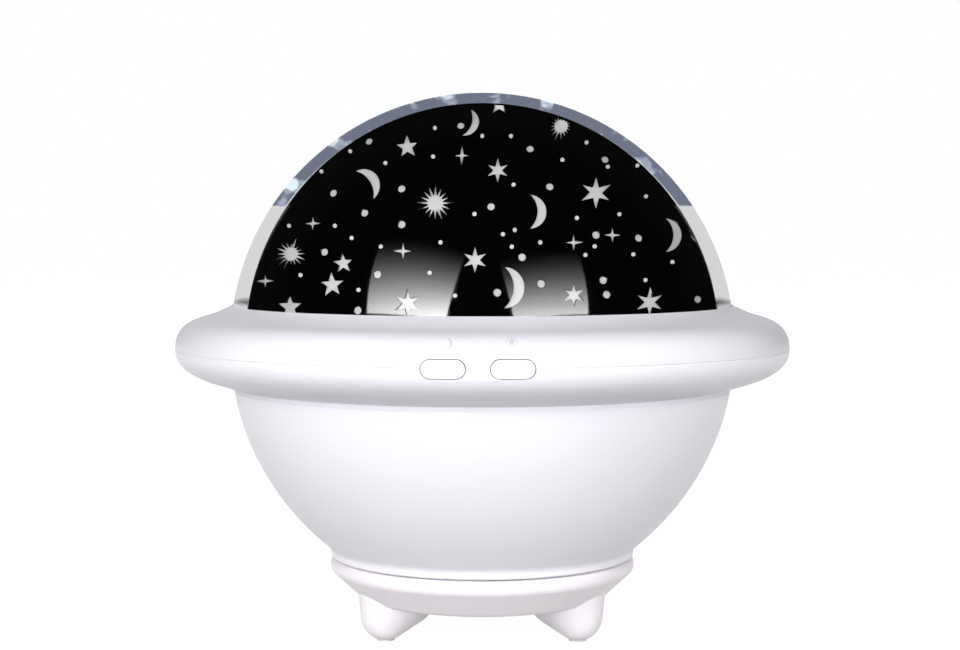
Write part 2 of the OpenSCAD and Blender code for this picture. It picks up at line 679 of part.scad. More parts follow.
module board_screws() {
  color("silver") for (a = post_angles) rotate([0, 0, a])
    translate([post_reach, 0, board_top]) screw(board_screw, board_t + post_hole - 1.6);
}

module usb_socket() {
  color("silver") translate([0, 0, usb_z]) difference() {
    slot_y(usb_w, usb_h, usb_y, usb_y + usb_l);
    difference() {
      slot_y(usb_w - 0.6, usb_h - 0.6, usb_y + 1, usb_y + usb_l + 1);
      translate([-3.3, usb_y + 0.5, -0.35]) cube([6.6, usb_l - 1.5, 0.7]);
    }
  }
}

module switch_board() {
  color("seagreen") translate([-switch_board_w / 2, -switch_board_y, switch_board_z])
    cube([switch_board_w, board_t, switch_board_h]);
}

module tact_switches() {
  for (s = [-1, 1]) translate([s * button_x, -switch_y, seam_z]) {
    color("black") translate([-switch_w / 2, 1, -switch_w / 2]) cube([switch_w, switch_l - 1, switch_w]);
    color("black") rotate([-90, 0, 0]) cylinder(r = 1.6, h = 1 + lap, $fn = 32);
  }
}

// Button cap, its stop flange behind the wall and its stem
module button(x) {
  translate([x, 0, seam_z]) {
    intersection() {
      slot_y(button_w, button_h, -rim_r - 2, -pad_y + 0.5);
      translate([-x, 0, -button_h]) cylinder(r = rim_r + button_proud, h = 2 * button_h, $fn = 180);
    }
    slot_y(button_w + 2 * flange_edge, button_h + 2 * flange_edge, -pad_y, -pad_y + flange_t);
    translate([0, -pad_y + flange_t - lap, 0]) rotate([-90, 0, 0])
      cylinder(r = stem_r, h = stem_l + lap, $fn = 32);
  }
}

module left_button() {
  color(white) button(-button_x);
}

module right_button() {
  color(white) button(button_x);
}

// Hollow tower that lifts the lamps to the centre of the dome
module led_riser() {
  color(white) difference() {
    revolve([[riser_r - 3, deck_top], [riser_foot_r, deck_top], [riser_foot_r, deck_top + riser_foot_t],
      [riser_r, deck_top + riser_foot_t], [led_board_r + 0.8, led_z], [led_board_r - 2, led_z],
      [led_board_r - 2, led_z - 1.4], [riser_r - 3, deck_top + 1]]);
    for (a = [60, 180, 300]) rotate([0, 0, a]) translate([riser_screw_r, 0, deck_top - 1])
      cylinder(r = small_screw[0], h = riser_foot_t + 2, $fn = 32);
  }
}

module riser_screws() {
  color("silver") for (a = [60, 180, 300]) rotate([0, 0, a])
    translate([riser_screw_r, 0, deck_top + riser_foot_t])
      screw([small_screw[0], 1.4, small_screw[2]], riser_foot_t + wall - 0.4);
}

module led_board() {
  color("white") translate([0, 0, led_z]) difference() {
    cylinder(r = led_board_r, h = led_board_t);
    translate([0, 0, -1]) cylinder(r = 1.6, h = led_board_t + 2, $fn = 32);
  }
}

// Four lamps, each a square case with a small lens
module led_chips() {
  color("khaki") for (a = [45:90:315]) rotate([0, 0, a]) translate([5, 0, led_z + led_board_t]) {
    translate([-1.75, -1.75, 0]) cube([3.5, 3.5, 1.2]);
    translate([0, 0, 1.2]) intersection() {
      sphere(r = 1.4, $fn = 32);
      translate([-2, -2, -lap]) cube([4, 4, 2]);
    }
  }
}

// Flat lead in an upright plane: its lower edge through the points, its upper edge shifted
module ribbon(points, shift, w) {
  rotate([90, 0, 0]) translate([0, 0, -w / 2]) linear_extrude(w)
    polygon(concat(points, [for (i = [len(points) - 1:-1:0]) points[i] + shift]));
}

module lead_wires() {
  color("crimson") {
    // lamp board to control board, down through the deck
    rotate([0, 0, 90]) ribbon([[0, led_z], [0, board_top + 12],
      [-plug_y + plug_l / 2, plug_top + lead_t]], [lead_t, -lead_t], lead_w);
    // cell to control board
    translate([0, cell_y, 0]) ribbon([[-cell_l / 2, cell_z - 2], [-cell_l / 2 - 5, cell_z + 2],
      [-cell_l / 2 - 5, board_z]], [-lead_t, -0.3], lead_w);
    // switch board to control board
    translate([plug_x, 0, 0]) rotate([0, 0, 90]) ribbon([[-plug_y, plug_top],
      [-lip_r + 13, ring_flange_z - 3], [-lip_r + 11, ring_flange_z + 2],
      [-switch_board_y + board_t + lead_t, switch_board_z + 3]], [-lead_t, -lead_t], lead_w);
    // motor to control board
    translate([pinion_x + 4, -lead_w / 2, gearbox_top + can_h]) cube([lead_t, lead_w,
      board_z - gearbox_top - can_h]);
  }
}

// Dome shell between two radii about the film's centre, down to its foot
module film_shell(outer, inner) {
  difference() {
    intersection() {
      translate([0, 0, film_z]) sphere(r = outer, $fn = 180);
      translate([0, 0, film_foot]) cylinder(r = outer + 1, h = 2 * outer);
    }
    translate([0, 0, film_z]) sphere(r = inner, $fn = 180);
  }
}

module film_carrier() {
  color("gainsboro") film_shell(carrier_r, bore_r);
}

module star_mask() {
  color("black") difference() {
    film_shell(film_r, carrier_r);
    for (a = [0, 180]) rotate([0, 0, a]) film_windows();
  }
}

module film_ring() {
  color("black") revolve([[film_ring_in, channel_z], [film_foot_r + 0.6, channel_z],
    [film_foot_r + 0.6, film_foot], [film_ring_in + 0.9, film_foot], [film_ring_in + 0.9, film_foot + 1.4],
    [film_ring_in, film_foot + 1.4]]);
}

module dome_cover() {
  color("lightsteelblue", 0.4) {
    difference() {
      intersection() {
        translate([0, 0, dome_z]) sphere(r = dome_r, $fn = 180);
        translate([0, 0, skirt_top]) cylinder(r = dome_r + 1, h = 2 * dome_r);
      }
      translate([0, 0, dome_z]) sphere(r = dome_r - dome_wall, $fn = 180);
    }
    revolve([[skirt_r - dome_wall, channel_z], [skirt_r - 0.2, channel_z], [skirt_r, channel_z + 0.3],
      [skirt_r, skirt_top], [skirt_r - dome_wall - 0.03, skirt_top]]);
  }
}

stand();
foot_pads();
drive_ring();
drive_ring_screws();
glide_ring();
pivot_washer();
pivot_screw();
bowl();
lower_ring();
collar();
housing_screws();
gearbox();
gearbox_screws();
motor_can();
drive_pinion();
battery_cell();
control_board();
board_parts();
board_screws();
usb_socket();
switch_board();
tact_switches();
left_button();
right_button();
led_riser();
riser_screws();
led_board();
led_chips();
lead_wires();
film_carrier();
star_mask();
film_ring();
dome_cover();
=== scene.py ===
import math

import bmesh
import bpy
from mathutils import Matrix, Vector


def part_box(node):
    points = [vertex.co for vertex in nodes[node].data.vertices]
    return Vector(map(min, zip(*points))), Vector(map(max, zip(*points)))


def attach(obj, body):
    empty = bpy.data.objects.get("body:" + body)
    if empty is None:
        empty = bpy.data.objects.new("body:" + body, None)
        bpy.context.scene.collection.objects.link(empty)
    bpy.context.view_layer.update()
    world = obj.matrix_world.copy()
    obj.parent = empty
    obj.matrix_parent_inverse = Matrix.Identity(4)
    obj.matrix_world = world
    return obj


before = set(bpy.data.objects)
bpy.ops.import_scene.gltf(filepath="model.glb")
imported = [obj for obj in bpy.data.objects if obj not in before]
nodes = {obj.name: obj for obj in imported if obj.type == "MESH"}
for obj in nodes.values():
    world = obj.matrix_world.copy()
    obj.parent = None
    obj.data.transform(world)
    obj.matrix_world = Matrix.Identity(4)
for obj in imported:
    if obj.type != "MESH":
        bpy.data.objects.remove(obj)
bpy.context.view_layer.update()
scene = bpy.context.scene
scene.view_settings.view_transform = "Standard"


# ---------------------------------------------------------------- stand
# One moulded dish of white ABS with a rolled rim and three blob feet.
# It comes from a polished tool, so it is glossy with a very faint orange peel.

def linear(code):
    """An sRGB hex colour as the linear RGBA that a shader takes."""
    channels = [int(code[i:i + 2], 16) / 255 for i in (1, 3, 5)]
    return [c / 12.92 if c <= 0.04045 else ((c + 0.055) / 1.055) ** 2.4 for c in channels] + [1]


def add(tree, kind, inputs=None, **settings):
    """Adds a node, sets its options, then sets or links its inputs."""
    made = tree.nodes.new(kind)
    for option, value in settings.items():
        setattr(made, option, value)
    for socket, value in (inputs or {}).items():
        if isinstance(value, bpy.types.NodeSocket):
            tree.links.new(value, made.inputs[socket])
        else:
            made.inputs[socket].default_value = value
    return made


def material(name):
    """A new material with an empty node tree."""
    made = bpy.data.materials.new(name)
    made.use_nodes = True
    made.node_tree.nodes.clear()
    return made, made.node_tree


def dress(node, finish):
    """Gives a CAD node its finish."""
    mesh = nodes[node].data
    mesh.materials.clear()
    mesh.materials.append(finish)


def moulded_abs(name, colour, shadow, roughness):
    """White ABS from a polished tool: milky, a soft highlight, tone that drifts over 30 mm,
    handling haze in the gloss over 9 mm and an orange peel of 1.4 mm."""
    made, tree = material(name)
    place = add(tree, "ShaderNodeTexCoord").outputs["Object"]
    drift = add(tree, "ShaderNodeTexNoise", {"Vector": place, "Scale": 1 / 0.030, "Detail": 2})
    haze = add(tree, "ShaderNodeTexNoise", {"Vector": place, "Scale": 1 / 0.009, "Detail": 3})
    peel = add(tree, "ShaderNodeTexNoise", {"Vector": place, "Scale": 1 / 0.0014, "Detail": 1})
    tone = add(tree, "ShaderNodeMix", {
        "Factor": drift.outputs["Fac"], "A": linear(shadow), "B": linear(colour)}, data_type="RGBA")
    gloss = add(tree, "ShaderNodeMapRange", {
        "Value": haze.outputs["Fac"], "From Min": 0.3, "From Max": 0.7,
        "To Min": roughness - 0.03, "To Max": roughness + 0.04})
    bump = add(tree, "ShaderNodeBump", {
        "Height": peel.outputs["Fac"], "Strength": 0.06, "Distance": 0.00004})
    body = add(tree, "ShaderNodeBsdfPrincipled", {
        "Base Color": tone.outputs["Result"], "Roughness": gloss.outputs["Result"],
        "Normal": bump.outputs["Normal"], "IOR": 1.53})
    add(tree, "ShaderNodeOutputMaterial", {"Surface": body.outputs["BSDF"]})
    return made


dress("stand", moulded_abs("moulded_white_abs_stand", "#fbf6fa", "#f8f2f7", 0.34))


# ---------------------------------------------------------------- foot pads
# Three soft silicone discs pressed into the tips of the feet.
# Silicone is matt and slightly milky, with dust that dulls it.

def silicone_pads():
    made, tree = material("translucent_silicone_pads")
    place = add(tree, "ShaderNodeTexCoord").outputs["Object"]
    dust = add(tree, "ShaderNodeTexNoise", {"Vector": place, "Scale": 1 / 0.0012, "Detail": 4})
    tone = add(tree, "ShaderNodeMix", {
        "Factor": dust.outputs["Fac"], "A": linear("#c9c8cc"), "B": linear("#dddce0")},
        data_type="RGBA")
    gloss = add(tree, "ShaderNodeMapRange", {
        "Value": dust.outputs["Fac"], "To Min": 0.55, "To Max": 0.8})
    body = add(tree, "ShaderNodeBsdfPrincipled", {
        "Base Color": tone.outputs["Result"], "Roughness": gloss.outputs["Result"], "IOR": 1.41})
    add(tree, "ShaderNodeOutputMaterial", {"Surface": body.outputs["BSDF"]})
    return made


dress("foot_pads", silicone_pads())


# ---------------------------------------------------------------- drive
# The internal gear, the pinion and the glide ring are moulded acetal.
# Acetal is creamy, waxy and greased, so it shows a broad soft highlight.

def acetal(name, colour, streak):
    made, tree = material(name)
    place = add(tree, "ShaderNodeTexCoord").outputs["Object"]
    grease = add(tree, "ShaderNodeTexNoise", {"Vector": place, "Scale": 1 / 0.002, "Detail": 3})
    tone = add(tree, "ShaderNodeMix", {
        "Factor": grease.outputs["Fac"], "A": linear(streak), "B": linear(colour)},
        data_type="RGBA")
    gloss = add(tree, "ShaderNodeMapRange", {
        "Value": grease.outputs["Fac"], "To Min": 0.2, "To Max": 0.5})
    body = add(tree, "ShaderNodeBsdfPrincipled", {
        "Base Color": tone.outputs["Result"], "Roughness": gloss.outputs["Result"], "IOR": 1.48})
    add(tree, "ShaderNodeOutputMaterial", {"Surface": body.outputs["BSDF"]})
    return made


gear_acetal = acetal("moulded_cream_acetal_gears", "#efe9da", "#e2dac6")
dress("drive_ring", gear_acetal)
dress("drive_pinion", gear_acetal)
dress("glide_ring", acetal("cut_white_acetal_glide_ring", "#f2f0ea", "#e6e3da"))


# ---------------------------------------------------------------- screws and washer
# Zinc-plated steel, rolled and cold headed, one finish for all the fasteners.
# Plating gives a cool, slightly cloudy metal with fine turning marks.

def zinc_plated_steel():
    made, tree = material("zinc_plated_steel_fasteners")
    place = add(tree, "ShaderNodeTexCoord").outputs["Object"]
    cloud = add(tree, "ShaderNodeTexNoise", {"Vector": place, "Scale": 1 / 0.0009, "Detail": 4})
    tone = add(tree, "ShaderNodeMix", {
        "Factor": cloud.outputs["Fac"], "A": linear("#9ea3a8"), "B": linear("#c5c9cd")},
        data_type="RGBA")
    gloss = add(tree, "ShaderNodeMapRange", {
        "Value": cloud.outputs["Fac"], "To Min": 0.28, "To Max": 0.45})
    body = add(tree, "ShaderNodeBsdfPrincipled", {
        "Base Color": tone.outputs["Result"], "Roughness": gloss.outputs["Result"],
        "Metallic": 1.0})
    add(tree, "ShaderNodeOutputMaterial", {"Surface": body.outputs["BSDF"]})
    return made


plated_steel = zinc_plated_steel()
for node in ("drive_ring_screws", "pivot_washer", "pivot_screw", "gearbox_screws", "housing_screws",
             "board_screws", "riser_screws"):
    dress(node, plated_steel)


# ---------------------------------------------------------------- bowl, lower ring and collar
# The three white shells, moulded in one grade of ABS and screwed together from above.
# They are polished outside, with a slightly cooler white than the stand.

shell_white = moulded_abs("moulded_white_abs_shells", "#f5f3f9", "#f1eff6", 0.34)
for node in ("bowl", "lower_ring", "collar"):
    dress(node, shell_white)


# ---------------------------------------------------------------- button signs
# A moon and a sun over the buttons, moulded on the collar with it and 0.25 mm proud.
# Their tops are left matt in the tool, and they are coloured greyer than the polished collar,
# a painted shade that lets them show on the bright collar.

collar_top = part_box("collar")[1].z
bend_radius, rim_radius = 0.0666, 0.0726
bend_height, pull_height = collar_top - 0.0028, collar_top - 0.0044
seam_height = collar_top - 0.00975
sign_relief, sign_root = 0.00025, -0.0001
moon_place = (-0.0061, collar_top - 0.0049)
sun_place = (0.0068, collar_top - 0.0045)


def flank_radius(height):
    """Radius of the collar's outer curve at a height: a quadratic curve from bend to seam."""
    a = bend_height - 2 * pull_height + seam_height
    b, c = 2 * (pull_height - bend_height), bend_height - height
    t = (-b - math.sqrt(b * b - 4 * a * c)) / (2 * a)
    return (1 - t) ** 2 * bend_radius + 2 * t * (1 - t) * rim_radius + t * t * rim_radius


def mesh_object(name, shape, finish):
    """Turns a bmesh into an object of the scene."""
    mesh = bpy.data.meshes.new(name)
    shape.to_mesh(mesh)
    shape.free()
    mesh.materials.append(finish)
    made = bpy.data.objects.new(name, mesh)
    scene.collection.objects.link(made)
    return made


def finished(name, shape, finish, body):
    """Turns a bmesh into a piece that rides on a body."""
    piece = mesh_object(name, shape, finish)
    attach(piece, body)


def moulded_sign(name, shape, place):
    """Gives a flat sign its relief and lays it on the collar's curve, upright from the front."""
    bmesh.ops.recalc_face_normals(shape, faces=shape.faces)
    bmesh.ops.solidify(shape, geom=shape.faces[:], thickness=sign_relief - sign_root)
    middle = sum(v.co.z for v in shape.verts) / len(shape.verts)
    for v in shape.verts:
        relief = sign_relief if v.co.z > middle else sign_root
        across, height = place[0] + v.co.x, place[1] + v.co.y
        radius = flank_radius(height) + relief
        v.co = (across, -math.sqrt(radius * radius - across * across), height)
    bmesh.ops.recalc_face_normals(shape, faces=shape.faces)
    finished(name, shape, sign_grey_painted_shade, "lamp_body")


# Painted shade: the signs' grey colour stands in for the shade along their edges.
sign_grey_painted_shade = moulded_abs("moulded_matt_abs_signs_painted_grey", "#dddce6", "#d8d7e1", 0.5)

# The moon is a strip bent round an arc; its widths and its shift are shares of its radius.
moon_radius, half_arc = 0.0011, math.radians(95)
tip_width, extra_width, moon_shift = 0.06, 0.34, 0.2
crescent = bmesh.new()
bmesh.ops.create_grid(crescent, x_segments=20, y_segments=2, size=1)
for v in crescent.verts:
    turn, width = v.co.x * half_arc, extra_width * (1 - v.co.x * v.co.x) + tip_width
    inward = 1 - width * (0.5 - 0.5 * v.co.y)
    v.co = (math.cos(turn) * inward - moon_shift, math.sin(turn) * inward, 0)
bmesh.ops.scale(crescent, vec=(moon_radius, moon_radius, 1), verts=crescent.verts)
moulded_sign("moon_sign", crescent, moon_place)

# The sun is a disc with short rays round it.
disc_radius = 0.00052
ray_count, ray_width, ray_length, ray_reach = 8, 0.00018, 0.0005, 0.00095
rays = bmesh.new()
bmesh.ops.create_circle(rays, cap_ends=True, segments=28, radius=disc_radius)
for step in range(ray_count):
    bmesh.ops.create_grid(rays, x_segments=1, y_segments=2, size=0.5, matrix=(
        Matrix.Rotation(math.radians(step * 360 / ray_count), 4, "Z")
        @ Matrix.Translation((0, ray_reach, 0)) @ Matrix.Diagonal((ray_width, ray_length, 1, 1))))
moulded_sign("sun_sign", rays, sun_place)


# ---------------------------------------------------------------- buttons
# Two caps of the same ABS, moulded apart and polished a little more.
# Their tops are rubbed by fingers, so their gloss is smoother than the shell's.

button_white = moulded_abs("moulded_white_abs_buttons", "#fbfafd", "#f8f7fb", 0.22)
dress("left_button", button_white)
dress("right_button", button_white)


# ---------------------------------------------------------------- gear motor
# A gearbox of black glass-filled nylon with a drawn steel motor can on top.
# The nylon is matt with fine fibres, and the can is brushed round its axis.

def glass_filled_nylon():
    made, tree = material("glass_filled_black_nylon_gearbox")
    place = add(tree, "ShaderNodeTexCoord").outputs["Object"]
    fibres = add(tree, "ShaderNodeTexNoise", {"Vector": place, "Scale": 1 / 0.0004, "Detail": 3})
    tone = add(tree, "ShaderNodeMix", {
        "Factor": fibres.outputs["Fac"], "A": linear("#1d1e20"), "B": linear("#303235")},
        data_type="RGBA")
    bump = add(tree, "ShaderNodeBump", {
        "Height": fibres.outputs["Fac"], "Strength": 0.3, "Distance": 0.00005})
    body = add(tree, "ShaderNodeBsdfPrincipled", {
        "Base Color": tone.outputs["Result"], "Normal": bump.outputs["Normal"], "Roughness": 0.6,
        "IOR": 1.53})
    add(tree, "ShaderNodeOutputMaterial", {"Surface": body.outputs["BSDF"]})
    return made


def drawn_steel_can():
    made, tree = material("drawn_nickel_plated_motor_can")
    place = add(tree, "ShaderNodeTexCoord").outputs["Object"]
    squash = add(tree, "ShaderNodeMapping", {"Vector": place, "Scale": (1, 1, 25)})
    marks = add(tree, "ShaderNodeTexNoise", {
        "Vector": squash.outputs["Vector"], "Scale": 1 / 0.004, "Detail": 3})
    tone = add(tree, "ShaderNodeMix", {
        "Factor": marks.outputs["Fac"], "A": linear("#a7a9ab"), "B": linear("#c9cbcc")},
        data_type="RGBA")
    gloss = add(tree, "ShaderNodeMapRange", {
        "Value": marks.outputs["Fac"], "To Min": 0.22, "To Max": 0.4})
    body = add(tree, "ShaderNodeBsdfPrincipled", {
        "Base Color": tone.outputs["Result"], "Roughness": gloss.outputs["Result"],
        "Metallic": 1.0})
    add(tree, "ShaderNodeOutputMaterial", {"Surface": body.outputs["BSDF"]})
    return made


dress("gearbox", glass_filled_nylon())
dress("motor_can", drawn_steel_can())


# ---------------------------------------------------------------- battery cell
# One lithium cell in a shrunk PVC sleeve, lying in two saddles of the bowl.
# The sleeve is glossy and slightly rippled where it shrank.

def shrunk_pvc_sleeve():
    made, tree = material("shrunk_blue_pvc_sleeve")
    place = add(tree, "ShaderNodeTexCoord").outputs["Object"]
    ripple = add(tree, "ShaderNodeTexNoise", {"Vector": place, "Scale": 1 / 0.003, "Detail": 2})
    tone = add(tree, "ShaderNodeMix", {
        "Factor": ripple.outputs["Fac"], "A": linear("#1f4f8f"), "B": linear("#2a62a8")},
        data_type="RGBA")
    bump = add(tree, "ShaderNodeBump", {
        "Height": ripple.outputs["Fac"], "Strength": 0.2, "Distance": 0.0001})
    body = add(tree, "ShaderNodeBsdfPrincipled", {
        "Base Color": tone.outputs["Result"], "Normal": bump.outputs["Normal"], "Roughness": 0.25,
        "IOR": 1.54})
    add(tree, "ShaderNodeOutputMaterial", {"Surface": body.outputs["BSDF"]})
    return made


dress("battery_cell", shrunk_pvc_sleeve())


# ---------------------------------------------------------------- boards
# Glass-epoxy boards under green solder resist, and a white one for the lamps.
# The resist is glossy, and the weave of the glass shows through at about 0.5 mm.

glass_pitch = 0.0005


def solder_resist(name, colour, weave_colour):
    """Resist over woven glass; a wave texture of scale 1 repeats every 0.314 m."""
    made, tree = material(name)
    place = add(tree, "ShaderNodeTexCoord").outputs["Object"]
    warp = add(tree, "ShaderNodeTexWave", {
        "Vector": place, "Scale": 0.314 / glass_pitch}, bands_direction="X")
    weft = add(tree, "ShaderNodeTexWave", {
        "Vector": place, "Scale": 0.314 / glass_pitch}, bands_direction="Y")
    weave = add(tree, "ShaderNodeMath", {0: warp.outputs["Fac"], 1: weft.outputs["Fac"]},
                operation="MULTIPLY")
    tone = add(tree, "ShaderNodeMix", {
        "Factor": weave.outputs["Value"], "A": linear(colour), "B": linear(weave_colour)},
        data_type="RGBA")
    body = add(tree, "ShaderNodeBsdfPrincipled", {
        "Base Color": tone.outputs["Result"], "Roughness": 0.32, "IOR": 1.55})
    add(tree, "ShaderNodeOutputMaterial", {"Surface": body.outputs["BSDF"]})
    return made


green_board = solder_resist("green_solder_resist_board", "#14563a", "#1a6a49")
dress("control_board", green_board)
dress("switch_board", green_board)
dress("led_board", solder_resist("white_solder_resist_lamp_board", "#eceded", "#f5f6f5"))


# ---------------------------------------------------------------- board parts and switches
# Black moulded epoxy packages, plug housings and switch bodies, soldered to the boards.
# The epoxy is matt and slightly grainy from its spark-eroded tool.

def moulded_epoxy():
    made, tree = material("moulded_black_epoxy_packages")
    place = add(tree, "ShaderNodeTexCoord").outputs["Object"]
    grit = add(tree, "ShaderNodeTexNoise", {"Vector": place, "Scale": 1 / 0.0003, "Detail": 2})
    tone = add(tree, "ShaderNodeMix", {
        "Factor": grit.outputs["Fac"], "A": linear("#161617"), "B": linear("#262728")},
        data_type="RGBA")
    bump = add(tree, "ShaderNodeBump", {
        "Height": grit.outputs["Fac"], "Strength": 0.25, "Distance": 0.00003})
    body = add(tree, "ShaderNodeBsdfPrincipled", {
        "Base Color": tone.outputs["Result"], "Normal": bump.outputs["Normal"], "Roughness": 0.5,
        "IOR": 1.55})
    add(tree, "ShaderNodeOutputMaterial", {"Surface": body.outputs["BSDF"]})
    return made


black_epoxy = moulded_epoxy()
dress("board_parts", black_epoxy)
dress("tact_switches", black_epoxy)


# ---------------------------------------------------------------- charging socket
# A drawn and nickel-plated steel shell round a tongue, soldered to the board's rear edge.
# Nickel is a warm bright metal, with faint draw lines along the shell.

def nickel_plated_shell():
    made, tree = material("nickel_plated_socket_shell")
    place = add(tree, "ShaderNodeTexCoord").outputs["Object"]
    along = add(tree, "ShaderNodeMapping", {"Vector": place, "Scale": (1, 0.1, 1)})
    lines = add(tree, "ShaderNodeTexNoise", {
        "Vector": along.outputs["Vector"], "Scale": 1 / 0.0004, "Detail": 3})
    tone = add(tree, "ShaderNodeMix", {
        "Factor": lines.outputs["Fac"], "A": linear("#b4b0a8"), "B": linear("#d2cec6")},
        data_type="RGBA")
    gloss = add(tree, "ShaderNodeMapRange", {
        "Value": lines.outputs["Fac"], "To Min": 0.2, "To Max": 0.36})
    body = add(tree, "ShaderNodeBsdfPrincipled", {
        "Base Color": tone.outputs["Result"], "Roughness": gloss.outputs["Result"],
        "Metallic": 1.0})
    add(tree, "ShaderNodeOutputMaterial", {"Surface": body.outputs["BSDF"]})
    return made


dress("usb_socket", nickel_plated_shell())


# ---------------------------------------------------------------- inner leads
# Flat leads in a red PVC sleeve, pushed into their plug housings.
# PVC is soft and satin, with a shallow ripple along the strands.

def pvc_sleeved_leads():
    made, tree = material("extruded_red_pvc_leads")
    place = add(tree, "ShaderNodeTexCoord").outputs["Object"]
    strands = add(tree, "ShaderNodeTexNoise", {"Vector": place, "Scale": 1 / 0.0015, "Detail": 2})
    tone = add(tree, "ShaderNodeMix", {
        "Factor": strands.outputs["Fac"], "A": linear("#8e1620"), "B": linear("#ad2029")},
        data_type="RGBA")
    body = add(tree, "ShaderNodeBsdfPrincipled", {
        "Base Color": tone.outputs["Result"], "Roughness": 0.42, "IOR": 1.53})
    add(tree, "ShaderNodeOutputMaterial", {"Surface": body.outputs["BSDF"]})
    return made


dress("lead_wires", pvc_sleeved_leads())


# ---------------------------------------------------------------- lamp tower and lamps
# A hollow white tower, screwed to the deck, lifts four lamps to the middle of the dome.
# The lamps are epoxy cases with a phosphor that looks yellow while it is off.

dress("led_riser", moulded_abs("moulded_white_abs_lamp_tower", "#eeeef0", "#e8e8ea", 0.45))


def phosphor_lamps():
    made, tree = material("clear_epoxy_over_yellow_phosphor")
    place = add(tree, "ShaderNodeTexCoord").outputs["Object"]
    grains = add(tree, "ShaderNodeTexNoise", {"Vector": place, "Scale": 1 / 0.0003, "Detail": 2})
    tone = add(tree, "ShaderNodeMix", {
        "Factor": grains.outputs["Fac"], "A": linear("#e0c04a"), "B": linear("#efd873")},
        data_type="RGBA")
    body = add(tree, "ShaderNodeBsdfPrincipled", {
        "Base Color": tone.outputs["Result"], "Roughness": 0.18, "IOR": 1.5, "Coat Weight": 0.5})
    add(tree, "ShaderNodeOutputMaterial", {"Surface": body.outputs["BSDF"]})
    return made


dress("led_chips", phosphor_lamps())


# ---------------------------------------------------------------- frosted dome and film ring
# A thin blow-moulded dome of frosted polycarbonate that spreads the light; the film lies on it.
# It shows as a soft pale grey through every window of the film, under its smooth glossy skin.

def frosted_polycarbonate():
    made, tree = material("frosted_polycarbonate_film_dome")
    place = add(tree, "ShaderNodeTexCoord").outputs["Object"]
    cloud = add(tree, "ShaderNodeTexNoise", {"Vector": place, "Scale": 1 / 0.012, "Detail": 2})
    frost = add(tree, "ShaderNodeTexNoise", {"Vector": place, "Scale": 1 / 0.0003, "Detail": 1})
    tone = add(tree, "ShaderNodeMix", {
        "Factor": cloud.outputs["Fac"], "A": linear("#c5c5c6"), "B": linear("#cbcbcc")},
        data_type="RGBA")
    bump = add(tree, "ShaderNodeBump", {
        "Height": frost.outputs["Fac"], "Strength": 0.15, "Distance": 0.00003})
    body = add(tree, "ShaderNodeBsdfPrincipled", {
        "Base Color": tone.outputs["Result"], "Normal": bump.outputs["Normal"], "Roughness": 0.6,
        "IOR": 1.58, "Sheen Weight": 0.85, "Sheen Roughness": 0.5, "Coat Weight": 1.0,
        "Coat Roughness": 0.12, "Coat IOR": 1.5})
    add(tree, "ShaderNodeOutputMaterial", {"Surface": body.outputs["BSDF"]})
    return made


frosted_dome = frosted_polycarbonate()
dress("film_carrier", frosted_dome)
dress("film_ring", black_epoxy)


# ---------------------------------------------------------------- star film
# A black polyester film with die-cut stars, moons, suns and dots, formed over the frosted dome.
# It is deep black and glossy, a little greyer at grazing angles where its surface shows.

film_radius = 0.0562
film_centre = Vector((0, 0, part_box("star_mask")[1].z - film_radius))


def black_polyester_film():
    """Takes its normal from the true sphere, so that the mesh's facets don't show in the gloss."""
    made, tree = material("formed_black_polyester_film")
    place = add(tree, "ShaderNodeTexCoord").outputs["Object"]
    out = add(tree, "ShaderNodeVectorMath", {0: place, 1: film_centre}, operation="SUBTRACT")
    true_sphere = add(tree, "ShaderNodeVectorTransform", {"Vector": out.outputs["Vector"]},
                      vector_type="NORMAL", convert_from="OBJECT", convert_to="WORLD")
    haze = add(tree, "ShaderNodeTexNoise", {"Vector": place, "Scale": 1 / 0.014, "Detail": 3})
    tone = add(tree, "ShaderNodeMix", {
        "Factor": haze.outputs["Fac"], "A": linear("#010101"), "B": linear("#040405")},
        data_type="RGBA")
    gloss = add(tree, "ShaderNodeMapRange", {
        "Value": haze.outputs["Fac"], "To Min": 0.03, "To Max": 0.07})
    body = add(tree, "ShaderNodeBsdfPrincipled", {
        "Base Color": tone.outputs["Result"], "Roughness": gloss.outputs["Result"],
        "Normal": true_sphere.outputs["Vector"], "IOR": 1.64, "Specular IOR Level": 0.65})
    rim = add(tree, "ShaderNodeBsdfDiffuse", {"Color": linear("#0a0a0b")})
    graze = add(tree, "ShaderNodeLayerWeight", {"Blend": 0.5})
    dull = add(tree, "ShaderNodeMapRange", {
        "Value": graze.outputs["Facing"], "From Min": 0.45, "From Max": 0.7}, clamp=True)
    film = add(tree, "ShaderNodeMixShader", {
        0: dull.outputs["Result"], 1: body.outputs["BSDF"], 2: rim.outputs["BSDF"]})
    add(tree, "ShaderNodeOutputMaterial", {"Surface": film.outputs["Shader"]})
    return made


dress("star_mask", black_polyester_film())

# The smallest holes of the film are 0.9 mm pin holes, cut round as seen by the viewer.
# Their places are the azimuth from the viewer's side and the elevation, in degrees.
viewer = Vector((0.0055, -0.45, 0.0978))
viewer_azimuth = 0.7
speck_radius, speck_depth, speck_sink = 0.00045, 0.00024, 0.0001
speck_places = [
    (-61, 52), (-23, 61), (-17, 49), (-34, 47), (-69, 45), (-63, 29), (-41, 29), (-34, 26),
    (-25, 24), (-10, 25), (-48, 17), (-29, 14), (-12, 18), (-6, 13), (-2, 32), (0, 57), (12, 57),
    (9, 40), (28, 48), (47, 55), (46, 46), (69, 47), (55, 37), (39, 32), (25, 31), (8, 28),
    (5, 27), (7, 24), (14, 25), (28, 24), (25, 22), (39, 22), (53, 20), (41, 16)]


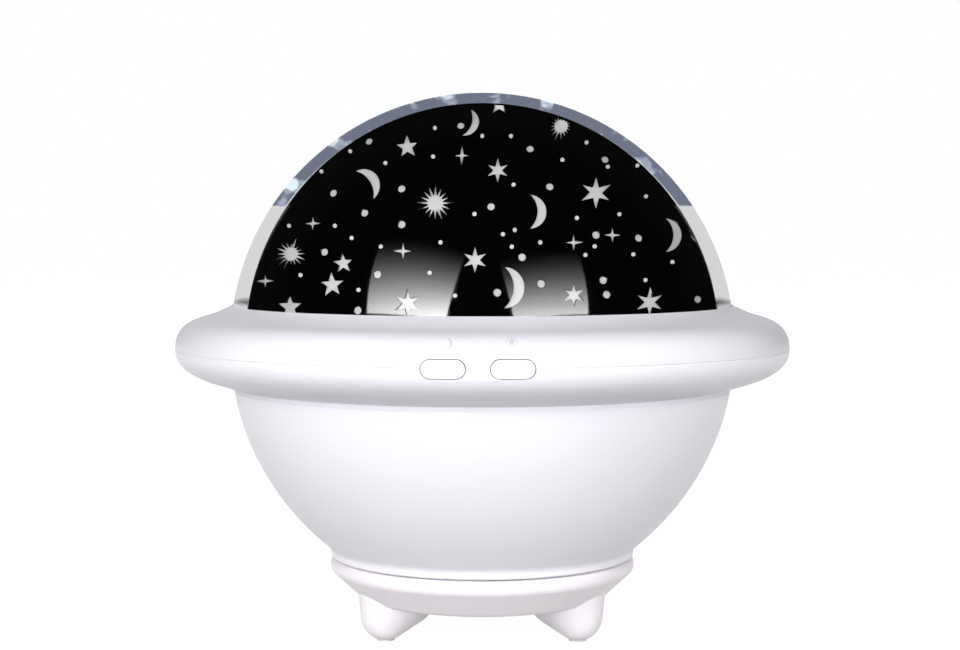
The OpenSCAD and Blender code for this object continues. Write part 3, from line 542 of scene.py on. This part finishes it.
def upright(azimuth, elevation):
    """Lays local X and Y on the film so that they look level and upright from in front."""
    azimuth, elevation = math.radians(azimuth), math.radians(elevation)
    out = Vector((math.cos(elevation) * math.sin(azimuth), -math.cos(elevation) * math.cos(azimuth),
                  math.sin(elevation)))
    spot = film_centre + out * (film_radius - speck_sink)
    look = (spot - viewer).normalized()
    level = look.cross(Vector((0, 0, 1))).normalized()
    plumb = level.cross(look)
    lie = [way - look * way.dot(out) / look.dot(out) for way in (level, plumb)]
    return Matrix.Translation(spot) @ Matrix((*lie, out)).transposed().to_4x4()


specks = bmesh.new()
for half_turn in (0, math.pi):
    for azimuth, elevation in speck_places:
        placed = Matrix.Rotation(half_turn, 4, "Z") @ upright(azimuth + viewer_azimuth, elevation)
        bmesh.ops.create_cone(specks, cap_ends=True, segments=16, radius1=speck_radius,
                              radius2=speck_radius, depth=speck_depth, matrix=placed)
finished("film_pin_holes", specks, frosted_dome, "film")


# ---------------------------------------------------------------- clear dome
# The outer dome, injection-moulded in clear acrylic with a wall of 1.6 mm.
# It is clear from the front; edge-on it is frosted near the foot, and above the frost line it has
# a painted grey-blue tint, a painted shade of a dark backdrop seen through the wall, with painted
# glints.

dome_radius, dome_wall = 0.0598, 0.0016
dome_centre = Vector((0, 0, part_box("dome_cover")[1].z - dome_radius))
frost_line, line_blur = 0.1016, 0.0001
foot_low, foot_high = 0.0784, 0.0796


def clear_acrylic():
    """A clear wall whose outer skin mirrors by Fresnel, but not where it is seen straight on.
    Where the skin is seen edge-on, it has a painted grey-blue tint above the frost line, a painted
    shade of a dark backdrop seen through, with painted glints of light, and it is milky below it,
    most of all at its foot."""
    made, tree = material("clear_moulded_acrylic_dome")
    place = add(tree, "ShaderNodeTexCoord").outputs["Object"]
    height = add(tree, "ShaderNodeSeparateXYZ", {"Vector": place}).outputs["Z"]
    above = add(tree, "ShaderNodeMapRange", {
        "Value": height, "From Min": frost_line - line_blur,
        "From Max": frost_line + line_blur}).outputs["Result"]
    out = add(tree, "ShaderNodeVectorMath", {0: place, 1: dome_centre}, operation="DISTANCE")
    skin = add(tree, "ShaderNodeMath", {
        0: out.outputs["Value"], 1: dome_radius - dome_wall / 2}, operation="GREATER_THAN")
    edge_on = add(tree, "ShaderNodeLayerWeight", {"Blend": 0.5})
    start = add(tree, "ShaderNodeMapRange", {"Value": above, "To Min": 0.66, "To Max": 0.695})
    end = add(tree, "ShaderNodeMapRange", {"Value": above, "To Min": 0.68, "To Max": 0.715})
    ramp = add(tree, "ShaderNodeMapRange", {
        "Value": edge_on.outputs["Facing"], "From Min": start.outputs["Result"],
        "From Max": end.outputs["Result"]}, clamp=True)
    edge = add(tree, "ShaderNodeMath", {0: ramp.outputs["Result"], 1: skin.outputs["Value"]},
               operation="MULTIPLY")
    wipe = add(tree, "ShaderNodeTexNoise", {"Vector": place, "Scale": 1 / 0.015, "Detail": 3})
    haze = add(tree, "ShaderNodeMapRange", {
        "Value": wipe.outputs["Fac"], "To Min": 0.0, "To Max": 0.02})
    inside = add(tree, "ShaderNodeNewGeometry").outputs["Backfacing"]
    met = add(tree, "ShaderNodeMath", {0: skin.outputs["Value"], 1: inside}, operation="SUBTRACT",
              use_clamp=True)
    fresnel = add(tree, "ShaderNodeFresnel", {"IOR": 1.49})
    sheer = add(tree, "ShaderNodeMapRange", {
        "Value": fresnel.outputs["Fac"], "From Min": 0.046, "To Min": 0.0, "To Max": 1.0})
    shine = add(tree, "ShaderNodeMath", {0: sheer.outputs["Result"], 1: met.outputs["Value"]},
                operation="MULTIPLY")
    through = add(tree, "ShaderNodeBsdfTransparent", {"Color": (1, 1, 1, 1)})
    mirror = add(tree, "ShaderNodeBsdfGlossy", {
        "Color": (1, 1, 1, 1), "Roughness": haze.outputs["Result"]})
    clear = add(tree, "ShaderNodeMixShader", {
        0: shine.outputs["Value"], 1: through.outputs["BSDF"], 2: mirror.outputs["BSDF"]})
    # Painted glints: noise patches that turn the edge-on tint blue-white, standing in for reflected
    # light.
    along = add(tree, "ShaderNodeVectorMath", {0: place, 1: (1, 0, 1)}, operation="MULTIPLY")
    ripple = add(tree, "ShaderNodeTexNoise", {
        "Vector": along.outputs["Vector"], "Scale": 1 / 0.006, "Detail": 2})
    painted_glint = add(tree, "ShaderNodeMapRange", {
        "Value": ripple.outputs["Fac"], "From Min": 0.57, "From Max": 0.63,
        "To Min": 0.0, "To Max": 1.0})
    # Painted shade: the edge-on grey-blue tint above the frost line stands for a dark backdrop seen
    # through.
    painted_backdrop_tint = add(tree, "ShaderNodeMix", {
        "Factor": painted_glint.outputs["Result"], "A": linear("#aaaeba"), "B": linear("#f2faff")},
        data_type="RGBA")
    painted_smoky_wall = add(tree, "ShaderNodeBsdfTransparent", {"Color": painted_backdrop_tint.outputs["Result"]})
    milk = add(tree, "ShaderNodeBsdfPrincipled", {
        "Base Color": linear("#f6f6f7"), "Roughness": 0.45, "IOR": 1.49,
        "Sheen Weight": 0.7, "Sheen Roughness": 0.5})
    glimpse = add(tree, "ShaderNodeBsdfTransparent", {"Color": linear("#eeeeef")})
    thin = add(tree, "ShaderNodeMapRange", {
        "Value": height, "From Min": foot_low, "From Max": foot_high,
        "To Min": 0.05, "To Max": 0.88})
    frosted = add(tree, "ShaderNodeMixShader", {
        0: thin.outputs["Result"], 1: milk.outputs["BSDF"], 2: glimpse.outputs["BSDF"]})
    side = add(tree, "ShaderNodeMixShader", {
        0: above, 1: frosted.outputs["Shader"], 2: painted_smoky_wall.outputs["BSDF"]})
    wall = add(tree, "ShaderNodeMixShader", {
        0: edge.outputs["Value"], 1: clear.outputs["Shader"], 2: side.outputs["Shader"]})
    add(tree, "ShaderNodeOutputMaterial", {"Surface": wall.outputs["Shader"]})
    return made


dress("dome_cover", clear_acrylic())


# ---------------------------------------------------------------- floor
# A matt white painted floor. It glows where it is seen, which makes it as pale as the room,
# and this glow lights nothing.

def stage_piece(name, shape, finish):
    """Turns a bmesh into a part of the studio."""
    piece = mesh_object(name, shape, finish)
    return piece


def seen_directly(tree):
    """1 for camera, glossy and transmission rays, and 0 for the rays that light the object."""
    path = add(tree, "ShaderNodeLightPath")
    either = add(tree, "ShaderNodeMath", {
        0: path.outputs["Is Camera Ray"], 1: path.outputs["Is Glossy Ray"]}, operation="ADD")
    return add(tree, "ShaderNodeMath", {
        0: either.outputs["Value"], 1: path.outputs["Is Transmission Ray"]},
        operation="ADD", use_clamp=True).outputs["Value"]


floor_paint, tree = material("matt_white_floor")
paint = add(tree, "ShaderNodeBsdfDiffuse", {"Color": linear("#989898")})
glow = add(tree, "ShaderNodeEmission", {"Color": (1, 1, 1, 1), "Strength": 0.92})
lifted = add(tree, "ShaderNodeAddShader", {0: paint.outputs["BSDF"], 1: glow.outputs["Emission"]})
floor_mix = add(tree, "ShaderNodeMixShader", {
    0: seen_directly(tree), 1: paint.outputs["BSDF"], 2: lifted.outputs["Shader"]})
add(tree, "ShaderNodeOutputMaterial", {"Surface": floor_mix.outputs["Shader"]})
floor_reach = 4
plane = bmesh.new()
bmesh.ops.create_grid(plane, x_segments=1, y_segments=1, size=floor_reach)
stage_piece("floor", plane, floor_paint)


# ---------------------------------------------------------------- room
# An even room, seen as pure white and dimmer as a light. In reflections it is almost black
# apart from a white patch behind the object.

room_tint = linear("#fafaff")
world = bpy.data.worlds.new("even_white_room")
scene.world = world
world.use_nodes = True
tree = world.node_tree
tree.nodes.clear()
path = add(tree, "ShaderNodeLightPath")
seen = add(tree, "ShaderNodeMath", {
    0: path.outputs["Is Camera Ray"], 1: path.outputs["Is Transmission Ray"]},
    operation="ADD", use_clamp=True)
way = add(tree, "ShaderNodeTexCoord").outputs["Generated"]
toward = add(tree, "ShaderNodeSeparateXYZ", {"Vector": way})
behind = add(tree, "ShaderNodeMapRange", {
    "Value": toward.outputs["Y"], "From Min": 0.85, "From Max": 0.98,
    "To Min": 0.004, "To Max": 1.0})
sky = add(tree, "ShaderNodeMapRange", {
    "Value": toward.outputs["Z"], "To Min": 0.25, "To Max": 0.27})
room = add(tree, "ShaderNodeBackground", {"Color": room_tint, "Strength": sky.outputs["Result"]})
backdrop = add(tree, "ShaderNodeBackground", {
    "Color": room_tint, "Strength": behind.outputs["Result"]})
white = add(tree, "ShaderNodeBackground", {"Color": (1, 1, 1, 1), "Strength": 1.0})
for_gloss = add(tree, "ShaderNodeMixShader", {
    0: path.outputs["Is Glossy Ray"], 1: room.outputs["Background"],
    2: backdrop.outputs["Background"]})
shown = add(tree, "ShaderNodeMixShader", {
    0: seen.outputs["Value"], 1: for_gloss.outputs["Shader"], 2: white.outputs["Background"]})
add(tree, "ShaderNodeOutputWorld", {"Surface": shown.outputs["Shader"]})


# ---------------------------------------------------------------- soft panels
# Two upright cloth panels, left and right in front, lit from behind and brightest at the foot.
# The film and the dome mirror them as two pale soft patches.

panel_axis_height, panel_distance = 0.068, 1


def soft_panel(name, azimuth, half_width, low, high, strength, falloff, left, right):
    """A panel between two elevations, with a share of its strength at the left and right edges.
    Angles are in degrees, seen from the panel axis."""
    finish, tree = material(name + "_cloth")
    place = add(tree, "ShaderNodeTexCoord").outputs["Object"]
    height = add(tree, "ShaderNodeSeparateXYZ", {"Vector": place}).outputs["Z"]
    fade = add(tree, "ShaderNodeMapRange", {
        "Value": height, "From Min": panel_axis_height + math.sin(math.radians(low)),
        "From Max": panel_axis_height + math.sin(math.radians(high)),
        "To Min": 1.0, "To Max": 0.0})
    curve = add(tree, "ShaderNodeMath", {0: fade.outputs["Result"], 1: falloff}, operation="POWER")
    across = add(tree, "ShaderNodeVectorMath", {
        0: place, 1: (math.cos(math.radians(azimuth)), math.sin(math.radians(azimuth)), 0)},
        operation="DOT_PRODUCT")
    reach = math.tan(math.radians(half_width))
    ramp = add(tree, "ShaderNodeMapRange", {
        "Value": across.outputs["Value"], "From Min": -reach, "From Max": reach,
        "To Min": left * strength, "To Max": right * strength})
    power = add(tree, "ShaderNodeMath", {
        0: curve.outputs["Value"], 1: ramp.outputs["Result"]}, operation="MULTIPLY")
    glow = add(tree, "ShaderNodeEmission", {
        "Color": (1, 1, 1, 1), "Strength": power.outputs["Value"]})
    add(tree, "ShaderNodeOutputMaterial", {"Surface": glow.outputs["Emission"]})
    cloth = bmesh.new()
    bmesh.ops.create_grid(cloth, x_segments=1, y_segments=1, size=0.5)
    bmesh.ops.scale(cloth, vec=(2 * math.tan(math.radians(half_width)),
                                2 * math.tan(math.radians((high - low) / 2)), 1), verts=cloth.verts)
    aim = (Matrix.Rotation(math.radians(azimuth), 4, "Z")
           @ Matrix.Rotation(math.radians(-(low + high) / 2), 4, "X"))
    bmesh.ops.transform(cloth, matrix=(
        Matrix.Translation((0, 0, panel_axis_height)) @ aim
        @ Matrix.Translation((0, -panel_distance, 0))
        @ Matrix.Rotation(math.radians(-90), 4, "X")), verts=cloth.verts)
    panel = stage_piece(name, cloth, finish)
    panel.visible_camera = False


soft_panel("left_soft_panel", azimuth=-35.2, half_width=19.8, low=13.4, high=51,
           strength=13.2, falloff=2.6, left=0.68, right=1.26)
soft_panel("right_soft_panel", azimuth=33.1, half_width=18.2, low=13.4, high=46,
           strength=9.4, falloff=2.8, left=1.05, right=0.95)


# ---------------------------------------------------------------- fill lamps
# Four low rectangular lamps round the object, strongest in front and weakest at the sides.
# They lift the shade under the ring and the bowl, and show in no reflection.

lamp_pitch = 83


def soft_lamp(name, place, turn, width, height, power):
    """A lamp pointed 7 degrees down and turned about Z from facing +Y, in degrees."""
    light = bpy.data.lights.new(name, "AREA")
    light.shape = "RECTANGLE"
    light.size, light.size_y, light.energy = width, height, power
    lamp = bpy.data.objects.new(name, light)
    scene.collection.objects.link(lamp)
    lamp.location = place
    lamp.rotation_euler = (math.radians(lamp_pitch), 0, math.radians(turn))
    lamp.visible_glossy = False
    lamp.visible_camera = False


soft_lamp("low_front_fill", place=(0, -1.6, 0.25), turn=0, width=1.6, height=0.5, power=14.8)
soft_lamp("left_side_fill", place=(-1.5, -0.1, 0.3), turn=-90, width=0.6, height=0.6, power=2.3)
soft_lamp("right_side_fill", place=(1.5, -0.1, 0.3), turn=90, width=0.6, height=0.6, power=2.0)
soft_lamp("low_back_fill", place=(0, 1.6, 0.25), turn=180, width=1.6, height=0.5, power=8.0)


# ---------------------------------------------------------------- camera
# It stands in the viewer's place, level with the dome, and looks a little down and to the left.
# The lengths of the lens and the sensor are in millimetres, and the turns in degrees.

focal_length, sensor_width = 70.69, 36
look_down, look_left = 3.13, 0.77
lens = bpy.data.cameras.new("camera")
lens.lens = focal_length
lens.sensor_width = sensor_width
camera = bpy.data.objects.new("camera", lens)
scene.collection.objects.link(camera)
camera.location = viewer
camera.rotation_euler = (math.radians(90 - look_down), 0, math.radians(look_left))
scene.camera = camera
